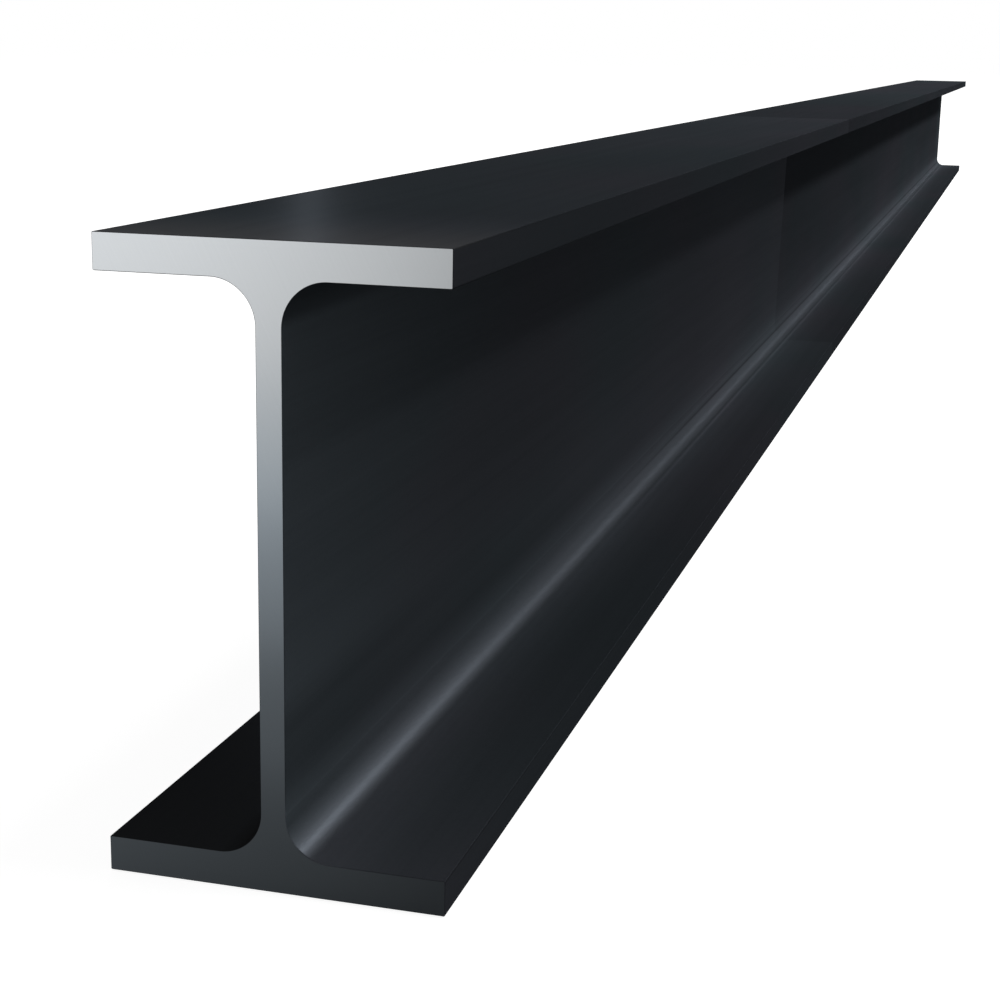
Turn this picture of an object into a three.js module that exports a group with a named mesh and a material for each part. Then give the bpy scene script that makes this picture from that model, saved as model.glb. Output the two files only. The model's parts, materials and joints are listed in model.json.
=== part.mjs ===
// A parallel-flange steel I-beam: one hot-rolled bar, sawn square at both ends.
//
// Millimetres. X runs across the flanges, Y along the beam and Z up through the web.
// The origin is at mid-length, on the centre line of the bottom flange's underside.

import * as THREE from 'three';

// The rolled section, each size set by itself
const SECTION_DEPTH = 100;
const FLANGE_WIDTH = 55;
const FLANGE_THICKNESS = 5.7;
const WEB_THICKNESS = 4.1;
const ROOT_RADIUS = 7;

// The length it is sawn to
const BEAM_LENGTH = 2000;

// Flats that stand for each quarter-round root, an even number
const ROOT_FACETS = 20;

// Where the finished surfaces stand in the section
const toeX = FLANGE_WIDTH / 2;
const webX = WEB_THICKNESS / 2;
const bottomFlangeTop = FLANGE_THICKNESS;
const topFlangeUnderside = SECTION_DEPTH - FLANGE_THICKNESS;

// The root fillets are tangent to the web and to the flange, so their centres stand one radius off both
const rootX = webX + ROOT_RADIUS;
const lowerRootZ = bottomFlangeTop + ROOT_RADIUS;
const upperRootZ = topFlangeUnderside - ROOT_RADIUS;

// The compass points of an arc in the section
const EAST = 0;
const NORTH = Math.PI / 2;
const WEST = Math.PI;
const SOUTH = -Math.PI / 2;

// A root fillet bulges into the steel, so it is walked clockwise while the outline runs anticlockwise
const CLOCKWISE = true;

// The section's outline, anticlockwise from the bottom flange's left toe.
// The roots' tangent arcs and the toes' square corners are all there is: the flange faces are parallel.
function rolledSection() {
  const outline = new THREE.Shape();

  // Bottom flange: underside and right toe
  outline.moveTo(-toeX, 0);
  outline.lineTo(toeX, 0);
  outline.lineTo(toeX, bottomFlangeTop);

  // Right channel: up the web from root to root
  outline.lineTo(rootX, bottomFlangeTop);
  outline.absarc(rootX, lowerRootZ, ROOT_RADIUS, SOUTH, WEST, CLOCKWISE);
  outline.lineTo(webX, upperRootZ);
  outline.absarc(rootX, upperRootZ, ROOT_RADIUS, WEST, NORTH, CLOCKWISE);

  // Top flange: right toe, top face and left toe
  outline.lineTo(toeX, topFlangeUnderside);
  outline.lineTo(toeX, SECTION_DEPTH);
  outline.lineTo(-toeX, SECTION_DEPTH);
  outline.lineTo(-toeX, topFlangeUnderside);

  // Left channel: down the web from root to root
  outline.lineTo(-rootX, topFlangeUnderside);
  outline.absarc(-rootX, upperRootZ, ROOT_RADIUS, NORTH, EAST, CLOCKWISE);
  outline.lineTo(-webX, lowerRootZ);
  outline.absarc(-rootX, lowerRootZ, ROOT_RADIUS, EAST, SOUTH, CLOCKWISE);

  // Bottom flange: back to the left toe
  outline.lineTo(-toeX, bottomFlangeTop);
  outline.closePath();
  return outline;
}

// Hot-rolled steel under its tight, dark blue-grey mill scale
const millScaledSteel = new THREE.MeshStandardMaterial({
  color: 0x2b3034,
  roughness: 0.38,
  metalness: 0.9,
});

// The section is drawn flat, pulled to length, then laid down so that its height points up.
// An arc is cut into twice as many flats as curveSegments says.
function rolledBeam() {
  const geometry = new THREE.ExtrudeGeometry(rolledSection(), {
    depth: BEAM_LENGTH,
    curveSegments: ROOT_FACETS / 2,
    bevelEnabled: false,
  });
  const beam = new THREE.Mesh(geometry, millScaledSteel);
  beam.name = 'i_beam';
  beam.rotation.x = Math.PI / 2;
  beam.position.y = BEAM_LENGTH / 2;
  return beam;
}

const group = new THREE.Group();
group.add(rolledBeam());

export default group;
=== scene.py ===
import json
import math

import bmesh
import bpy
from mathutils import Matrix, Vector


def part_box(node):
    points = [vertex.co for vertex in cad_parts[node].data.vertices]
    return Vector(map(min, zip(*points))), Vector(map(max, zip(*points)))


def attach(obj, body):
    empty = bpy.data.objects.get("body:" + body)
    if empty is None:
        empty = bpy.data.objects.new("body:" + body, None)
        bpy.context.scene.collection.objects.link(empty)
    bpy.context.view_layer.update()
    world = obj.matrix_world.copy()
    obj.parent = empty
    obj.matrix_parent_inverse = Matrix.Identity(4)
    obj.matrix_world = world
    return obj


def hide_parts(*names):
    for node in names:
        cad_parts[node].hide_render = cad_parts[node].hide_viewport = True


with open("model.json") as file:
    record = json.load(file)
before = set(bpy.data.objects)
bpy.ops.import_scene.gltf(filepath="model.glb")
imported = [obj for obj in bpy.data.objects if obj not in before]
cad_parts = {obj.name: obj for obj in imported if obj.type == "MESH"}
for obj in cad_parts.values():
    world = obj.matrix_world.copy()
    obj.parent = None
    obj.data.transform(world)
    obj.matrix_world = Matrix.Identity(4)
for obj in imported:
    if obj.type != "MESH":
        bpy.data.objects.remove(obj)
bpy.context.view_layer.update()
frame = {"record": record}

# ---------------------------------------------------------------- the rolled section, in metres

MOUNTS = {mount["name"]: Vector(mount["pos_m"]) for mount in frame["record"]["mounts"]}
LOW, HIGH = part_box("i_beam")
TOE_X = HIGH.x
WEB_X = MOUNTS["web_right"].x
DEPTH = HIGH.z
FLANGE = MOUNTS["lower_ledge_right"].z
FRONT_Y, BACK_Y = LOW.y, HIGH.y
LENGTH = BACK_Y - FRONT_Y

ROOT_RADIUS = 0.007         # where web and flange meet
ROOT_SEGMENTS = 32
TOE_RADIUS = 0.0002         # rolled corners of the flanges
TOE_SEGMENTS = 3
SAWN_EDGE = 0.0001          # the sawn rim, just broken
SHARP_DEGREES = 35
HAIR = 1e-6
END_FACING = 0.9            # a face that looks along the beam at least this squarely is an end


# ---------------------------------------------------------------- shader maths

class Value:
    """A node's output. Python's operators on it add Math nodes."""

    def __init__(self, finish, socket):
        self.finish, self.socket = finish, socket

    def math(self, operation, *others, clamp=False):
        settings = {"operation": operation, "use_clamp": clamp}
        return self.finish.node("ShaderNodeMath", settings, dict(enumerate((self, *others))))

    def __add__(self, other):
        return self.math("ADD", other)

    __radd__ = __add__

    def __mul__(self, other):
        return self.math("MULTIPLY", other)

    __rmul__ = __mul__

    def __sub__(self, other):
        return self.math("SUBTRACT", other)

    def __rsub__(self, other):
        return (self * -1).math("ADD", other)

    def __truediv__(self, other):
        return self.math("DIVIDE", other)

    def __pow__(self, other):
        return self.math("POWER", other)

    def __abs__(self):
        return self.math("ABSOLUTE")

    def larger(self, other):
        return self.math("MAXIMUM", other)

    def clamped(self):
        return self.math("ADD", 0, clamp=True)

    def fade(self, reach):
        """1 at 0, falling evenly to 0 at reach."""
        return 1 - (self / reach).clamped()

    def ramp(self, low, high, to_low=0.0, to_high=1.0):
        """Rises smoothly from to_low at low to to_high at high."""
        settings = {"interpolation_type": "SMOOTHSTEP"}
        return self.finish.node("ShaderNodeMapRange", settings,
                                {0: self, 1: low, 2: high, 3: to_low, 4: to_high})

    def fall(self, low, high):
        """Falls smoothly from 1 at low to 0 at high."""
        return self.ramp(low, high, 1.0, 0.0)

    def line(self, centre, half_width):
        """1 at centre, falling to 0 at half_width to either side."""
        return abs(self - centre).fade(half_width)


NOISE_SPREAD = 4.0          # a noise texture keeps within about a quarter of its middle
NOISE_DETAIL = 2.0


class Finish:
    """A material's or the world's node tree."""

    def __init__(self, owner):
        owner.use_nodes = True
        self.owner, self.tree = owner, owner.node_tree
        self.tree.nodes.clear()

    def node(self, kind, settings=None, inputs=None, output=0):
        """Adds a node: its settings first, then the values or links of its sockets."""
        node = self.tree.nodes.new(kind)
        for name, value in (settings or {}).items():
            if name == "stops":
                lay_stops(node.color_ramp, value)
            else:
                setattr(node, name, value)
        for key, value in (inputs or {}).items():
            if isinstance(value, Value):
                self.tree.links.new(value.socket, node.inputs[key])
            else:
                node.inputs[key].default_value = value
        return Value(self, node.outputs[output]) if node.outputs else None

    def place(self):
        """Where a point of the surface is on the beam, in metres."""
        return self.node("ShaderNodeTexCoord", output="Object")

    def axes(self, vector):
        return [self.node("ShaderNodeSeparateXYZ", None, {0: vector}, axis) for axis in "XYZ"]

    def vector(self, x, y, z):
        return self.node("ShaderNodeCombineXYZ", None, {0: x, 1: y, 2: z})

    def stretched(self, place, squeeze):
        """A place whose distance along the beam is squeezed, which draws its noise out along the beam."""
        factors = (1.0, squeeze, 1.0)
        return self.node("ShaderNodeVectorMath", {"operation": "MULTIPLY"}, {0: place, 1: factors})

    def toned(self, colour, level):
        return self.node("ShaderNodeVectorMath", {"operation": "SCALE"}, {0: colour, "Scale": level})

    def mix(self, factor, first, second):
        """A colour between two colours. On a colour Mix node, sockets 6 and 7 are A and B."""
        return self.node("ShaderNodeMix", {"data_type": "RGBA"}, {0: factor, 6: first, 7: second}, 2)

    def noise(self, where, scale, swing=1.0):
        """Soft noise that swings about 0, seldom past swing to either side."""
        inputs = {"Vector": where, "Scale": scale, "Detail": NOISE_DETAIL}
        cloud = self.node("ShaderNodeTexNoise", None, inputs)
        return (cloud - 0.5) * (NOISE_SPREAD * swing)

    def stops(self, value, tones):
        """The grey that tones, {value: grey}, give for value."""
        low, high = min(tones), max(tones)
        return self.node("ShaderNodeValToRGB", {"stops": tones}, {0: (value - low) / (high - low)})

    def bump(self, height, distance):
        return self.node("ShaderNodeBump", None, {"Height": height, "Distance": distance, "Strength": 1.0})

    def shine(self, inputs):
        return self.node("ShaderNodeBsdfPrincipled", None, inputs)

    def done(self, surface, output="ShaderNodeOutputMaterial"):
        self.node(output, None, {"Surface": surface})
        return self.owner


def opaque(level, tint=(1.0, 1.0, 1.0)):
    return (level * tint[0], level * tint[1], level * tint[2], 1.0)


def lay_stops(ramp, tones):
    """Lays the tones {value: grey} along a colour ramp, the lowest value at 0 and the highest at 1."""
    ramp.interpolation = "CARDINAL"
    order = sorted(tones)
    low, high = order[0], order[-1]
    for value in order[1:-1]:
        ramp.elements.new((value - low) / (high - low))
    for stop, value in zip(ramp.elements, order):
        stop.color = opaque(tones[value])


# ---------------------------------------------------------------- mill scale

TEAL_SCALE = (0.83, 1.0, 1.15, 1.0)
SLATE_SCALE = (0.95, 1.0, 1.19, 1.0)
ASHEN_SCALE = (0.98, 1.0, 1.04, 1.0)
BURNISHED = (0.90, 1.0, 1.16)
SLATE_SHARE = 0.45                  # how far the hue is from teal towards slate, on the whole
NEAR_TEAL = 0.35                    # less far by the near end
NEAR_FLANGE_SLATE = 0.9             # but further there on the flanges
ASHEN_RIM = (0.0, 0.04, 0.8, 0.0)   # ashen on top just behind the near end

FLAT_SCALE = 0.026                  # how light the scale is on the flats
LEFT_LEDGE_PAINTED_SHADE = 0.7             # painted shade on the left lower ledge takes this share of it
FLAT_POLISH = 0.0375                # how much of it the rolls burnished there
POLISH_LEVEL = 0.08                 # how much light burnished scale mirrors
SCALE_ROUGHNESS = 0.4
POLISH_ROUGHNESS = 0.34
TOP_SMOOTHER = 0.04                 # by this much less rough
GRAIN_ROUGHNESS = 0.02
GRAIN_RELIEF = 0.000004

# Noise over the scale: how fine it is, and its swing in tone.
COARSE_STREAKS = (260.0, 0.05)
FINE_STREAKS = (1400.0, 0.03)
PATCHES = (28.0, 0.05)
CLOUDS = (14.0, 0.9)                # with a swing in hue
GRAIN = 1500.0
GRAIN_SWING = 0.03
STREAK_SQUEEZE = 0.01
PATCH_SQUEEZE = 0.3
CLOUD_SQUEEZE = 0.4

# Where a face or an area of it begins and is whole, in metres.
RIGHT_SIDE = (0.0, 0.001)           # by x
LEFT_SIDE = (-0.001, 0.0)
ABOVE_LEDGE = (-0.0006, -0.0001)    # by height over the ledge
TOP_FACE = (DEPTH - 0.0004, DEPTH - 0.0001)
TOE_FACE = (TOE_X - TOE_RADIUS, TOE_X - TOE_RADIUS / 10)
UNDER_TOP = (DEPTH - FLANGE, DEPTH - FLANGE + 0.0005)
WEB_FACE = (0.0005, 0.002)          # by distance out from the web
FLANGE_FACE = (0.002, 0.004)
UPPER_WEB = (0.061, 0.070)          # by height
UPPER_ROOT = (0.0869, 0.0895)
LOWER_TOE = (0.02, 0.05)
# the left lower ledge, darkened with painted shade, by height
SHADED_LEFT_LEDGE = (0.012, 0.03)

# The lower right root, by bend: -1 up the web, 0 and 1 the two ends of the fillet, 2 out on the ledge.
# Its scale's tone: a painted highlight and glow, lighter than the flats, on the right side only.
ROOT_GLOW_TONES = {
    -0.88: 0.026,
    -0.76: 0.032,
    -0.68: 0.0355,
    -0.40: 0.042,
    -0.08: 0.059,
    0.02: 0.058,
    0.13: 0.048,
    0.38: 0.042,
    0.60: 0.018,
    0.70: 0.018,
    0.85: 0.036,
    1.20: 0.032,
    1.75: 0.021,
}
# How much of the root mirrors light: a painted sheen that shapes its highlight.
ROOT_SHEEN = {
    -0.30: 0.0,
    0.05: 0.8,
    0.30: 0.84,
    0.46: 1.7,
    0.57: 1.13,
    0.75: 0.7,
    1.00: 0.4,
    1.30: 0.0,
}
ROOT_BEGINS = (-0.80, -0.70)        # how far the root's own tone, with its painted glow, holds against the beam's drift
ROOT_FILLS = (-0.1, 0.25, 0.8, 1.05)
ROOT_THINS = (0.45, 1.4, 1.0, 0.38)
ROOT_PAINTED_DIP = (0.75, 0.15, -0.25)      # a dip in the painted root glow, written as a painted root line is

# Painted reflection lines along that root: the bend, half the width, and how much lighter.
PAINTED_ROOT_LINES = (
    (0.86, 0.05, 0.4),
    (0.78, 0.04, -0.3),
    (0.29, 0.05, -0.4),
    (0.17, 0.05, 0.15),
    (0.28, 0.14, -0.25),
    (0.02, 0.33, -0.17),
    (-0.7, 0.15, -0.12),
)
PAINTED_ROOT_LINES_BEGIN = (0.15, 0.4)      # how far from the near end they begin to show
PAINTED_SEAM_LINE = (-0.03, 0.04, 0.1)           # this one shows all along

ROOT_PAINTED_SHEEN = 0.181                 # how much more of the root mirrors light, a painted sheen, where its sheen is 1
FAR_PAINTED_SHEEN = (0.25, 0.9, 1.0, 1.35)     # more so towards the far end
NEAR_PAINTED_GLINT = 0.172                 # and a painted glint, how much more again by the near end
NEAR_GLINT = (0.43, 0.28)           # where by bend, and half the width
FRONT_GLINT = (0.45, 0.14)          # a narrower one that reaches further along the beam
FRONT_GLINT_FADE = (0.05, 0.22, 0.8, 0.0)

END_GLOW_FADE = 0.15                     # the painted glow by the sawn ends fades out this far in
END_GLOW_POWER = 2.5
TOP_GLOW_FADE = 0.06                     # on the top flange it fades out sooner
TOP_RIM_GLOW = 1.1
SHADE_STEP_Y = FRONT_Y + 0.567            # where a painted shade step crosses the beam, and the tone changes
SHADE_STEP_LEAN = 0.15
SHADE_STEP_BLUR = 0.001
BEFORE_SHADE_STEP = (-0.45, -0.06)        # it grows lighter up to the step
PAST_SHADE_STEP = (0.0, 0.6, 1.0, 0.4)    # and past it the darker tone wears off
NEAR_TOE = (FRONT_Y + 0.1, FRONT_Y + 0.25)      # painted shade: the upper toes are darker up to here


def root_bend(out, up):
    """How far round the lower root a point is, from its distances out from the web and up off the ledge."""
    return (ROOT_RADIUS - up).math("ARCTAN2", ROOT_RADIUS - out) / (math.pi / 2)


def drawn(bend, *lines):
    """How much lighter the painted lines along the root make it."""
    return sum(lighter * bend.line(centre, half_width) for centre, half_width, lighter in lines)


def over(areas, everywhere, **more):
    """An amount that holds everywhere, with so much more of it in each named area."""
    return sum((amount * areas[name] for name, amount in more.items()), start=everywhere)


def scale_areas(x, z, out, root, top):
    """1 in each area of the rolled faces, and 0 elsewhere."""
    toe = abs(x).ramp(*TOE_FACE)
    lower_toe = toe * z.fall(*LOWER_TOE)
    web = out.fall(*WEB_FACE) * (1 - top)
    high = z.ramp(*UPPER_ROOT)
    return {
        "root": root,
        "top": top,
        "toe": toe,
        "lower_toe": lower_toe,
        "upper_toe": toe - lower_toe,
        "web": web,
        "upper_web": web * z.ramp(*UPPER_WEB) * (1 - high),
        "upper_root": high * z.fall(*UNDER_TOP),
    }


def painted_light_and_shade(y, z, areas):
    """Painted light and shade over the beam, about 1: a glow by the sawn ends, a step in tone, shade under
    the top flange and on the flange sides. The upper web past the step is darkest of all.
    """
    from_end = LENGTH / 2 - abs(y)
    # A painted glow by both sawn ends: strongest on the upper web, weak in the shaded upper root and on the
    # flange sides, none on the top face and lower right root; the top face gets a painted rim glow instead.
    lighter = over(areas, 1, upper_web=0.7, upper_root=-0.7, toe=-0.75, lower_toe=0.15, top=-1, root=-1)
    rim_glow = TOP_RIM_GLOW * from_end.fade(TOP_GLOW_FADE) ** 2 * areas["top"]
    end_glow = 1 + from_end.fade(END_GLOW_FADE) ** END_GLOW_POWER * lighter + rim_glow

    # A painted shade step across the beam: lighter up to it, darker past it, the darkness wearing off
    # further on.
    from_shade_step = y - z * SHADE_STEP_LEAN - SHADE_STEP_Y
    past_shade_step = from_shade_step.ramp(-SHADE_STEP_BLUR, SHADE_STEP_BLUR)
    darker = over(areas, 0.17, web=0.06, top=0.04, toe=0.08, root=-0.08)
    before = 1 + over(areas, 0.2, web=-0.06) * from_shade_step.ramp(*BEFORE_SHADE_STEP)
    past = 1 - past_shade_step * darker * from_shade_step.ramp(*PAST_SHADE_STEP)

    # Painted shade under the top flange, on the upper web deepest past the step and in the upper root; the
    # top face a little lighter, painted light.
    painted_flange_shade = over(areas, 1, upper_web=0.07 - 0.57 * past_shade_step, upper_root=-0.15, top=0.06)
    # Painted shade on the flange sides, more on the upper ones by the near end.
    toes = over(areas, 1, toe=-0.16, upper_toe=-0.08 * y.fall(*NEAR_TOE))
    return end_glow * before * past * painted_flange_shade * toes


def mill_scale():
    """The tight blue-black oxide skin that the rolls leave on every face along the beam, with painted
    highlights and shade on it.
    """
    finish = Finish(bpy.data.materials.new("mill_scale"))
    place = finish.place()
    x, y, z = finish.axes(place)
    out, up = abs(x) - WEB_X, z - FLANGE
    from_front = y - FRONT_Y
    bend = root_bend(out, up)
    in_channel = x.ramp(*RIGHT_SIDE) * up.ramp(*ABOVE_LEDGE)
    on_top = z.ramp(*TOP_FACE)
    on_flange = out.ramp(*FLANGE_FACE).larger(on_top)
    shaded_left_ledge = x.fall(*LEFT_SIDE) * z.fall(*SHADED_LEFT_LEDGE)

    # Where the painted highlight, glow and lines of the root hold: the lower right root only.
    root = bend.ramp(*ROOT_BEGINS) * bend.ramp(*ROOT_FILLS) * bend.ramp(*ROOT_THINS)
    root = in_channel * (root + drawn(bend, ROOT_PAINTED_DIP))
    # Painted reflection lines along the root, growing in from the near end.
    painted_root_lines = drawn(bend, *PAINTED_ROOT_LINES) * from_front.ramp(*PAINTED_ROOT_LINES_BEGIN) + drawn(bend, PAINTED_SEAM_LINE)
    along = finish.stretched(place, STREAK_SQUEEZE)
    streaks = finish.noise(along, *COARSE_STREAKS) + finish.noise(along, *FINE_STREAKS)
    patches = finish.noise(finish.stretched(place, PATCH_SQUEEZE), *PATCHES)
    grain = finish.noise(place, GRAIN)
    # The painted light and shade over the beam, and painted shade on the left lower ledge.
    drift = painted_light_and_shade(y, z, scale_areas(x, z, out, root, on_top)) * (1 - LEFT_LEDGE_PAINTED_SHADE * shaded_left_ledge)
    drift = drift * (1 + streaks + patches + GRAIN_SWING * grain + in_channel * painted_root_lines)

    # The painted sheen and glint along the lower right root, strongest by the near end and growing towards
    # the far end.
    near = from_front.fade(END_GLOW_FADE) ** 2
    sheen = finish.stops(bend, ROOT_SHEEN) + bend.line(*FRONT_GLINT) * from_front.ramp(*FRONT_GLINT_FADE)
    painted_sheen = sheen * ROOT_PAINTED_SHEEN * from_front.ramp(*FAR_PAINTED_SHEEN)
    painted_sheen = painted_sheen + bend.line(*NEAR_GLINT) * near * NEAR_PAINTED_GLINT
    share = FLAT_POLISH + in_channel * painted_sheen
    level = FLAT_SCALE + in_channel * (finish.stops(bend, ROOT_GLOW_TONES) - FLAT_SCALE)

    clouds = finish.noise(finish.stretched(place, CLOUD_SQUEEZE), *CLOUDS)
    slate = clouds + SLATE_SHARE + near * (NEAR_FLANGE_SLATE * on_flange - NEAR_TEAL)
    ashen = on_top * from_front.ramp(*ASHEN_RIM) + shaded_left_ledge
    hue = finish.mix(slate.clamped(), TEAL_SCALE, SLATE_SCALE)
    hue = finish.mix(ashen.clamped(), hue, ASHEN_SCALE)
    relief = finish.bump(grain, GRAIN_RELIEF)
    skin = finish.shine({
        "Base Color": finish.toned(hue, drift * level / (1 - share)),
        "Roughness": SCALE_ROUGHNESS,
        "Specular IOR Level": 0.0,
        "Normal": relief,
    })
    polish = finish.node("ShaderNodeBsdfAnisotropic", None, {
        "Color": opaque(POLISH_LEVEL, BURNISHED),
        "Roughness": POLISH_ROUGHNESS - TOP_SMOOTHER * on_top + GRAIN_ROUGHNESS * grain,
        "Normal": relief,
    })
    return finish.done(finish.node("ShaderNodeMixShader", None, {0: share, 1: skin, 2: polish}))


# ---------------------------------------------------------------- sawn steel

SAWN_TOP = (0.96, 1.0, 1.03, 1.0)
SAWN_FOOT = (0.87, 1.0, 1.11, 1.0)
HUE_CHANGE = (0.05, 0.09)           # by height
# A painted reflection in the sawn face's colour: bright at the top, dark at the foot.
PAINTED_GLEAM = {
    0.0: 0.034,
    0.2: 0.0615,
    0.4: 0.122,
    0.6: 0.264,
    0.8: 0.456,
    1.0: 0.590,
}                                   # by height, as a share of the beam's depth
LOWER_FLANGE = (0.004, 0.02)
FOOT_SLOPE, BODY_SLOPE = 0.44, 0.24     # how much darker the painted reflection gets towards the right toe
BODY_CURVE = 0.07                   # and towards both toes
SAWN_ROUGHNESS = 0.38
BLADE_X, BLADE_Z = -0.9, -0.35      # the middle of the saw blade
TOOTH_SCALE = 2600.0
TOOTH_SWING = 0.02
TOOTH_RELIEF = 0.000003


def sawn_steel():
    """Bare steel where the saw went through, with a painted reflection that is bright at the top and dull
    towards the foot.
    """
    finish = Finish(bpy.data.materials.new("sawn_steel"))
    x, y, z = finish.axes(finish.place())
    painted_gleam = finish.stops(z / DEPTH, PAINTED_GLEAM)
    hue = finish.mix(z.ramp(*HUE_CHANGE), SAWN_FOOT, SAWN_TOP)
    # Painted shade and light across the face: darker towards the right toe, lighter towards the left.
    side = x / TOE_X
    slope = z.ramp(*LOWER_FLANGE, FOOT_SLOPE, BODY_SLOPE)
    across = 1 - side * slope - BODY_CURVE * side * side * z.ramp(*LOWER_FLANGE)

    blade = ((x - BLADE_X) ** 2 + (z - BLADE_Z) ** 2) ** 0.5
    teeth = finish.noise(finish.vector(blade, 0.0, 0.0), TOOTH_SCALE)
    return finish.done(finish.shine({
        "Base Color": finish.toned(hue, painted_gleam * across * (1 + TOOTH_SWING * teeth)),
        "Metallic": 1.0,
        "Roughness": SAWN_ROUGHNESS + TOOTH_SWING * teeth,
        "Normal": finish.bump(teeth, TOOTH_RELIEF),
    }))


# ---------------------------------------------------------------- objects

def placed(name, data):
    """An object of this data, put in the scene."""
    thing = bpy.data.objects.new(name, data)
    bpy.context.scene.collection.objects.link(thing)
    return thing


def made(name, shape, *materials):
    """An object of the shape, in these materials."""
    mesh = bpy.data.meshes.new(name)
    shape.to_mesh(mesh)
    shape.free()
    for material in materials:
        mesh.materials.append(material)
    return placed(name, mesh)


# ---------------------------------------------------------------- the beam

def section_outline():
    """The section's twelve corners, anticlockwise seen from the front, with its roots still square."""
    right = [
        (TOE_X, 0.0),
        (TOE_X, FLANGE),
        (WEB_X, FLANGE),
        (WEB_X, DEPTH - FLANGE),
        (TOE_X, DEPTH - FLANGE),
        (TOE_X, DEPTH),
    ]
    left = [(-x, z) for x, z in reversed(right)]
    return right + left


def along_beam(edge):
    return abs(edge.verts[0].co.y - edge.verts[1].co.y) > LENGTH / 2


def at_root(edge):
    return along_beam(edge) and abs(abs(edge.verts[0].co.x) - WEB_X) < HAIR


def at_toe(edge):
    return along_beam(edge) and abs(abs(edge.verts[0].co.x) - TOE_X) < HAIR


def is_end(face):
    return abs(face.normal.y) > END_FACING


def on_sawn_rim(edge):
    """True if the edge runs round an end face, and not across it."""
    same_end = abs(edge.verts[0].co.y - edge.verts[1].co.y) < HAIR
    return same_end and len({is_end(face) for face in edge.link_faces}) == 2


def bevel(shape, edges, offset, segments):
    bmesh.ops.bevel(
        shape,
        geom=edges,
        offset=offset,
        offset_type="OFFSET",
        segments=segments,
        profile=0.5,
        affect="EDGES",
        material=-1,
        clamp_overlap=True,
    )


def rolled_beam(skin, sawn):
    """The whole beam: its section pulled to length, roots filleted, toes and sawn rims eased."""
    shape = bmesh.new()
    corners = [shape.verts.new((x, FRONT_Y, z)) for x, z in section_outline()]
    front = shape.faces.new(corners)
    pulled = bmesh.ops.extrude_face_region(shape, geom=[front])
    far = [item for item in pulled["geom"] if isinstance(item, bmesh.types.BMVert)]
    bmesh.ops.translate(shape, verts=far, vec=(0.0, LENGTH, 0.0))
    bmesh.ops.recalc_face_normals(shape, faces=shape.faces)

    bevel(shape, [edge for edge in shape.edges if at_root(edge)], ROOT_RADIUS, ROOT_SEGMENTS)
    bevel(shape, [edge for edge in shape.edges if at_toe(edge)], TOE_RADIUS, TOE_SEGMENTS)
    bevel(shape, [edge for edge in shape.edges if on_sawn_rim(edge)], SAWN_EDGE, 1)

    for face in shape.faces:
        face.material_index = 1 if is_end(face) else 0
        face.smooth = not is_end(face)
    beam = made("beam", shape, skin, sawn)
    beam.data.set_sharp_from_angle(angle=math.radians(SHARP_DEGREES))
    flats = beam.modifiers.new("flats", "WEIGHTED_NORMAL")     # the flats shade flat up to their edges
    flats.weight = 100
    flats.keep_sharp = True
    return beam


# ---------------------------------------------------------------- the studio

ROOM_LEVEL = 0.2            # how bright the room is to the beam, against the white that is seen
FLOOR_GREY = 0.45
FLOOR_LIFT = 0.91           # what lifts the floor to white where it is seen
FLOOR_HALF_SIDE = 60.0
FLOOR_Z = -0.0002

ROOT_RISE, PANEL_RISE = 50.3, 70.0      # how high the lamps beside the beam stand, in degrees
LAMP_REACH = 1.5
ROOT_AIM_Z = 0.01
BACK_TURN, BACK_REACH, BACK_Z = 21.1, 2.6, 0.5      # the lamp behind and to the left, its turn in degrees


def seen(finish):
    """1 for what the camera, a gloss or glass sees, and 0 for what only lights the beam."""
    camera, gloss, glass = (finish.node("ShaderNodeLightPath", output=f"Is {kind} Ray")
                            for kind in ("Camera", "Glossy", "Transmission"))
    return (camera + gloss + glass).clamped()


def white_world():
    world = bpy.data.worlds.new("studio")
    bpy.context.scene.world = world
    finish = Finish(world)
    level = seen(finish).ramp(0.0, 1.0, ROOM_LEVEL, 1.0)
    glow = finish.node("ShaderNodeBackground", None, {"Color": opaque(1.0), "Strength": level})
    finish.done(glow, "ShaderNodeOutputWorld")


def pale_floor():
    """A matt floor that holds the beam's shadow and is lifted to white where it is seen."""
    finish = Finish(bpy.data.materials.new("pale_floor"))
    matt = finish.node("ShaderNodeBsdfDiffuse", None, {"Color": opaque(FLOOR_GREY)})
    lift = {"Color": opaque(1.0), "Strength": seen(finish) * FLOOR_LIFT}
    lift = finish.node("ShaderNodeEmission", None, lift)
    return finish.done(finish.node("ShaderNodeAddShader", None, {0: matt, 1: lift}))


def floor():
    shape = bmesh.new()
    bmesh.ops.create_grid(shape, x_segments=1, y_segments=1, size=FLOOR_HALF_SIDE)
    bmesh.ops.translate(shape, verts=shape.verts, vec=(0.0, 0.0, FLOOR_Z))
    made("floor", shape, pale_floor())


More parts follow.
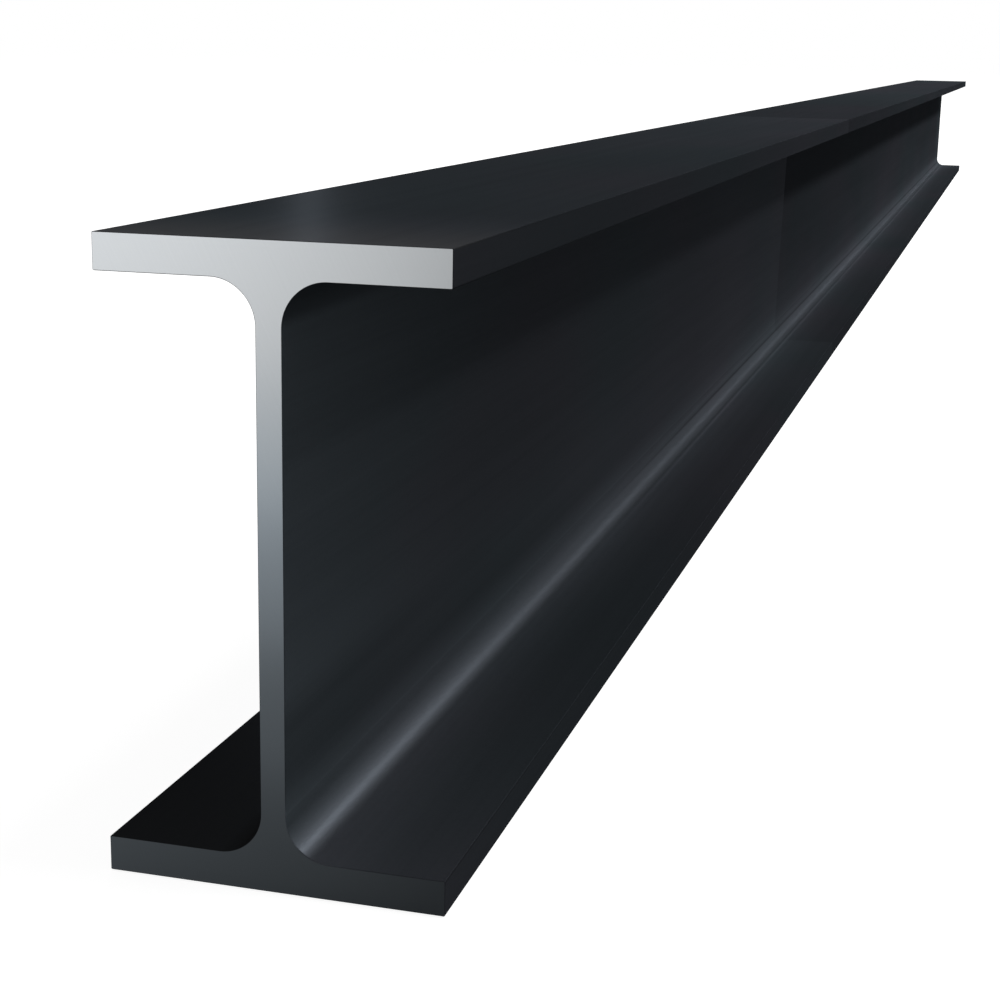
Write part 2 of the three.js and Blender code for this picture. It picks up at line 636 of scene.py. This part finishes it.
def softbox(name, place, aim, width, height, level):
    """A soft square lamp whose face is level times as bright as white paper."""
    lamp = bpy.data.lights.new(name, "AREA")
    lamp.shape = "RECTANGLE"
    lamp.size, lamp.size_y = width, height
    lamp.energy = level * math.pi * width * height
    holder = placed(name, lamp)
    holder.location = place
    holder.rotation_euler = (Vector(aim) - Vector(place)).to_track_quat("-Z", "Y").to_euler()
    holder.visible_camera = False


def beside(rise, y):
    """A place to the right of the beam, rise degrees up from its foot."""
    rise = math.radians(rise)
    return (LAMP_REACH * math.cos(rise), y, LAMP_REACH * math.sin(rise))


def side_lamp(name, rise, y, **face):
    """A softbox beside the beam, aimed at its lower right root."""
    softbox(name, beside(rise, y), (0.0, y, ROOT_AIM_Z), **face)


def studio_lights():
    side_lamp("strip", ROOT_RISE, y=5.0, width=12.0, height=0.14, level=8.0)
    side_lamp("panel", PANEL_RISE, y=2.0, width=6.0, height=0.6, level=2.4)
    softbox("near_box", beside(ROOT_RISE, y=1.06), (0.0, FRONT_Y, 0.0), width=0.4, height=0.14, level=28.0)
    turn = math.radians(BACK_TURN)
    behind = (-BACK_REACH * math.sin(turn), FRONT_Y + BACK_REACH * math.cos(turn), BACK_Z)
    softbox("back_left", behind, (0.0, FRONT_Y, DEPTH), width=0.03, height=0.6, level=60.0)


# ---------------------------------------------------------------- the camera

FOCAL_MM, SENSOR_MM = 67.59, 36.0
CLIP_NEAR, CLIP_FAR = 0.01, 200.0
EYE = Vector((0.10265, FRONT_Y - 0.24821, 0.12696))
TURN_LEFT, LOOK_DOWN, TILT = math.radians(15.283), math.radians(13.539), math.radians(-1.1245)
LEVEL = math.radians(90)    # an unturned camera looks straight down


def camera():
    data = bpy.data.cameras.new("camera")
    data.sensor_width = SENSOR_MM
    data.lens = FOCAL_MM
    data.clip_start, data.clip_end = CLIP_NEAR, CLIP_FAR
    holder = placed("camera", data)
    aim = Matrix.Rotation(TURN_LEFT, 4, "Z") @ Matrix.Rotation(LEVEL - LOOK_DOWN, 4, "X")
    holder.matrix_world = Matrix.Translation(EYE) @ aim @ Matrix.Rotation(-TILT, 4, "Z")
    bpy.context.scene.camera = holder


# ---------------------------------------------------------------- the scene

bpy.context.scene.view_settings.view_transform = "Standard"
camera()
white_world()
floor()
studio_lights()

beam = rolled_beam(mill_scale(), sawn_steel())
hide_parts("i_beam")
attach(beam, "root")
